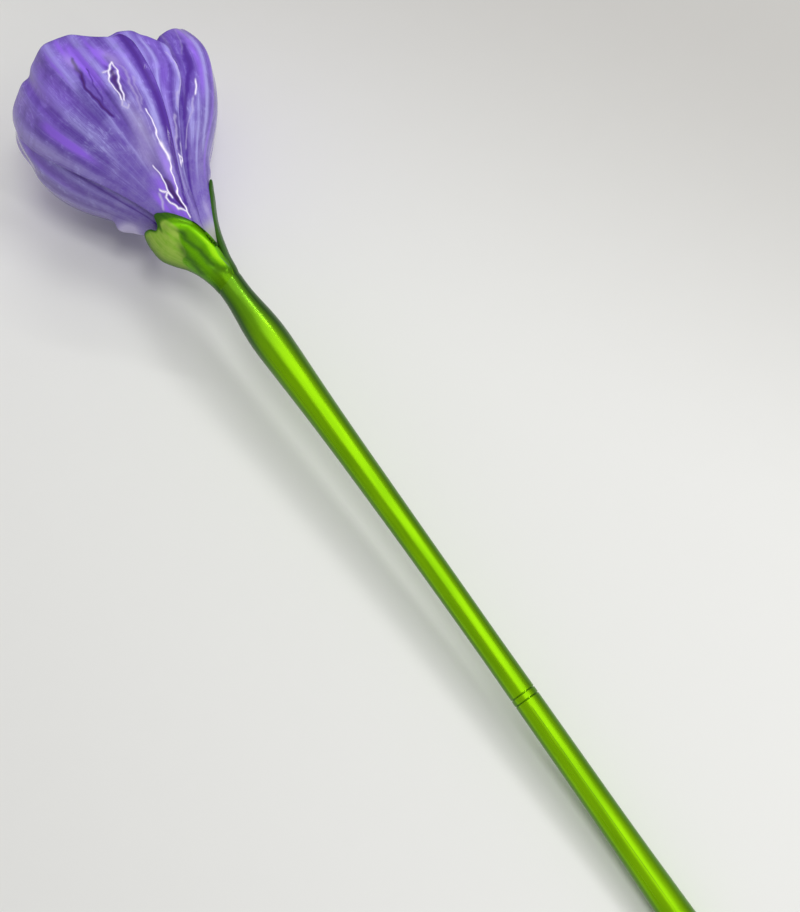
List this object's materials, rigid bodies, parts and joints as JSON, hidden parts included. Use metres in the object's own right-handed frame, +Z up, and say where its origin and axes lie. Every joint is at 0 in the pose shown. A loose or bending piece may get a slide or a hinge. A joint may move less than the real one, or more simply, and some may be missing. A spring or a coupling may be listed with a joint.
{
  "type": "glass crocus flower",
  "caption": "Blown-glass crocus lying on its side: ribbed purple petals cupped on a base, a green calyx with sepals and a long green glass stem.",
  "frame": {"origin": "on the surface that the flower lies on, under the middle of its outline", "axes": "+Y along the length of the flower from the far end of the stem to the mouth, +Z up, +X to the right seen from the stem's end"},
  "size_m": [0.0656, 0.3306, 0.0643],
  "materials": {
    "petal_glass": "glossy purple glass with pale lavender streaks that fan from the base",
    "base_glass": "glossy purple glass, whitish where it is thin",
    "sepal_glass": "glossy green glass with a paler frosted patch",
    "stem_glass": "clear bright green glass, fire polished"
  },
  "bodies": {
    "root": {"petal_top": "petal_glass", "petal_top_right": "petal_glass", "petal_right": "petal_glass", "petal_bottom": "petal_glass", "petal_bottom_left": "petal_glass", "petal_left": "petal_glass", "flower_base": "base_glass", "sepal_broad": "sepal_glass", "sepal_narrow": "sepal_glass", "sepal_under": "sepal_glass", "calyx_neck": "stem_glass", "stem_upper": "stem_glass", "stem_joint": "stem_glass", "stem_lower": "stem_glass"}
  },
  "joints": []
}
